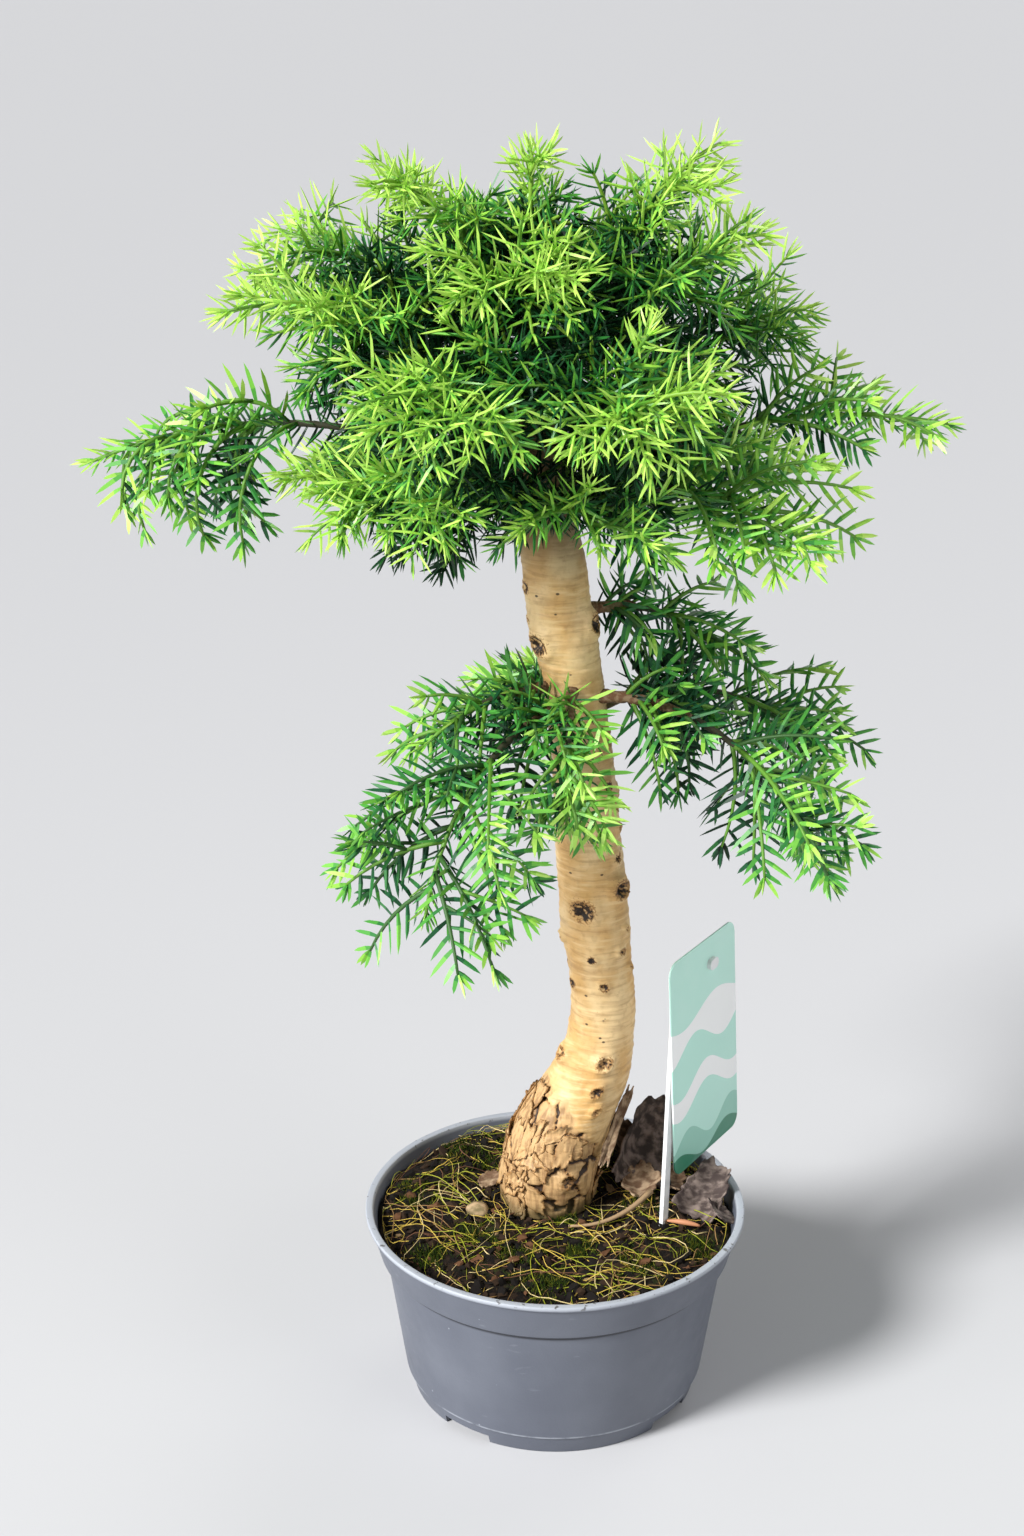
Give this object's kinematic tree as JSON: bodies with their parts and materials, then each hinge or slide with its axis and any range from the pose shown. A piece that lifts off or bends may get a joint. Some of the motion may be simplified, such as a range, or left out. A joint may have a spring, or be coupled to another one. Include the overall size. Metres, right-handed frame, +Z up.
{
  "type": "potted hoop pine bonsai",
  "caption": "Small hoop pine bonsai with a bare leaning trunk, a spreading needled head and a lower ring of drooping boughs, in a low round plastic pot with a plain label.",
  "frame": {"origin": "centre of the flat underside of the pot", "axes": "+Z up, from the pot to the tip of the tree; -Y towards the front of the plant; +X to its right"},
  "size_m": [0.3071, 0.2263, 0.4647],
  "materials": {
    "pot_plastic": "satin",
    "potting_soil": "rough",
    "trunk_bark": "rough",
    "bough_bark": "rough",
    "needles": "satin",
    "label_card": "satin",
    "label_holder": "satin"
  },
  "bodies": {
    "root": {"bough_far_left": "bough_bark", "bough_far_right": "bough_bark", "bough_low_right": "bough_bark", "bough_lower_back": "bough_bark", "bough_lower_front": "bough_bark", "bough_lower_left": "bough_bark", "bough_lower_left_front": "bough_bark", "bough_lower_right": "bough_bark", "bough_lower_right_back": "bough_bark", "bough_middle_right": "bough_bark", "label_card": "label_card", "label_holder": "label_holder", "mass_back_left": "needles", "mass_back_right": "needles", "mass_far_left": "needles", "mass_far_right": "needles", "mass_front_left": "needles", "mass_front_right": "needles", "mass_high_left": "needles", "mass_high_left_back": "needles", "mass_high_right": "needles", "mass_high_right_back": "needles", "mass_leader": "needles", "mass_low_back": "needles", "mass_low_back_left": "needles", "mass_low_back_right": "needles", "mass_low_front": "needles", "mass_low_front_left": "needles", "mass_low_left": "needles", "mass_low_right": "needles", "mass_lower_back": "needles", "mass_lower_front": "needles", "mass_lower_left": "needles", "mass_lower_left_front": "needles", "mass_lower_right": "needles", "mass_lower_right_back": "needles", "mass_middle_right": "needles", "mass_top_back": "needles", "mass_top_front": "needles", "mass_top_left": "needles", "mass_top_right": "needles", "pot": "pot_plastic", "soil": "potting_soil", "trunk": "trunk_bark"}
  },
  "joints": []
}
